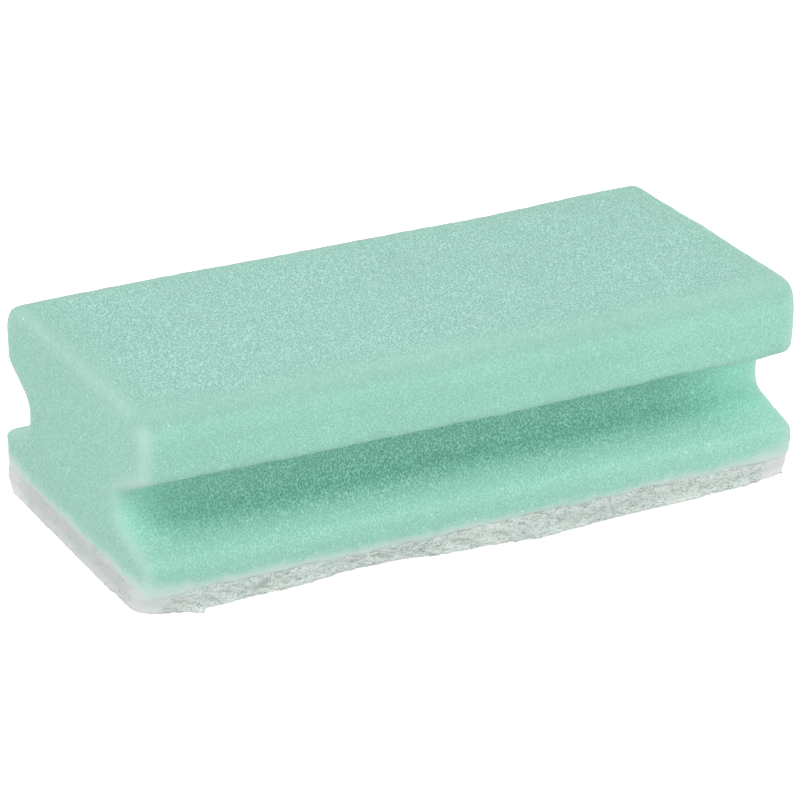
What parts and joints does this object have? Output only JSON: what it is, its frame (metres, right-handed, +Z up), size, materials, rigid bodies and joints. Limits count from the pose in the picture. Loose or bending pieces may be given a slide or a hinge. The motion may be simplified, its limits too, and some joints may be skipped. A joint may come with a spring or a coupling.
{
  "type": "scrub sponge",
  "caption": "Foam grip sponge with a finger groove along each long side, bonded on a non-woven scouring pad, for scrubbing by hand.",
  "frame": {"origin": "centre of the pad's underside, where the sponge rests", "axes": "+X along the sponge, -Y its front long side, +Z up from the pad to the top of the foam"},
  "size_m": [0.15, 0.0709, 0.0441],
  "materials": {
    "mint_foam": "open-cell polyurethane foam, fine pores, matte",
    "pad_fibre": "non-woven nylon fibre, ragged cut edges"
  },
  "bodies": {
    "root": {"foam_body": "mint_foam", "scouring_pad": "pad_fibre"}
  },
  "joints": []
}
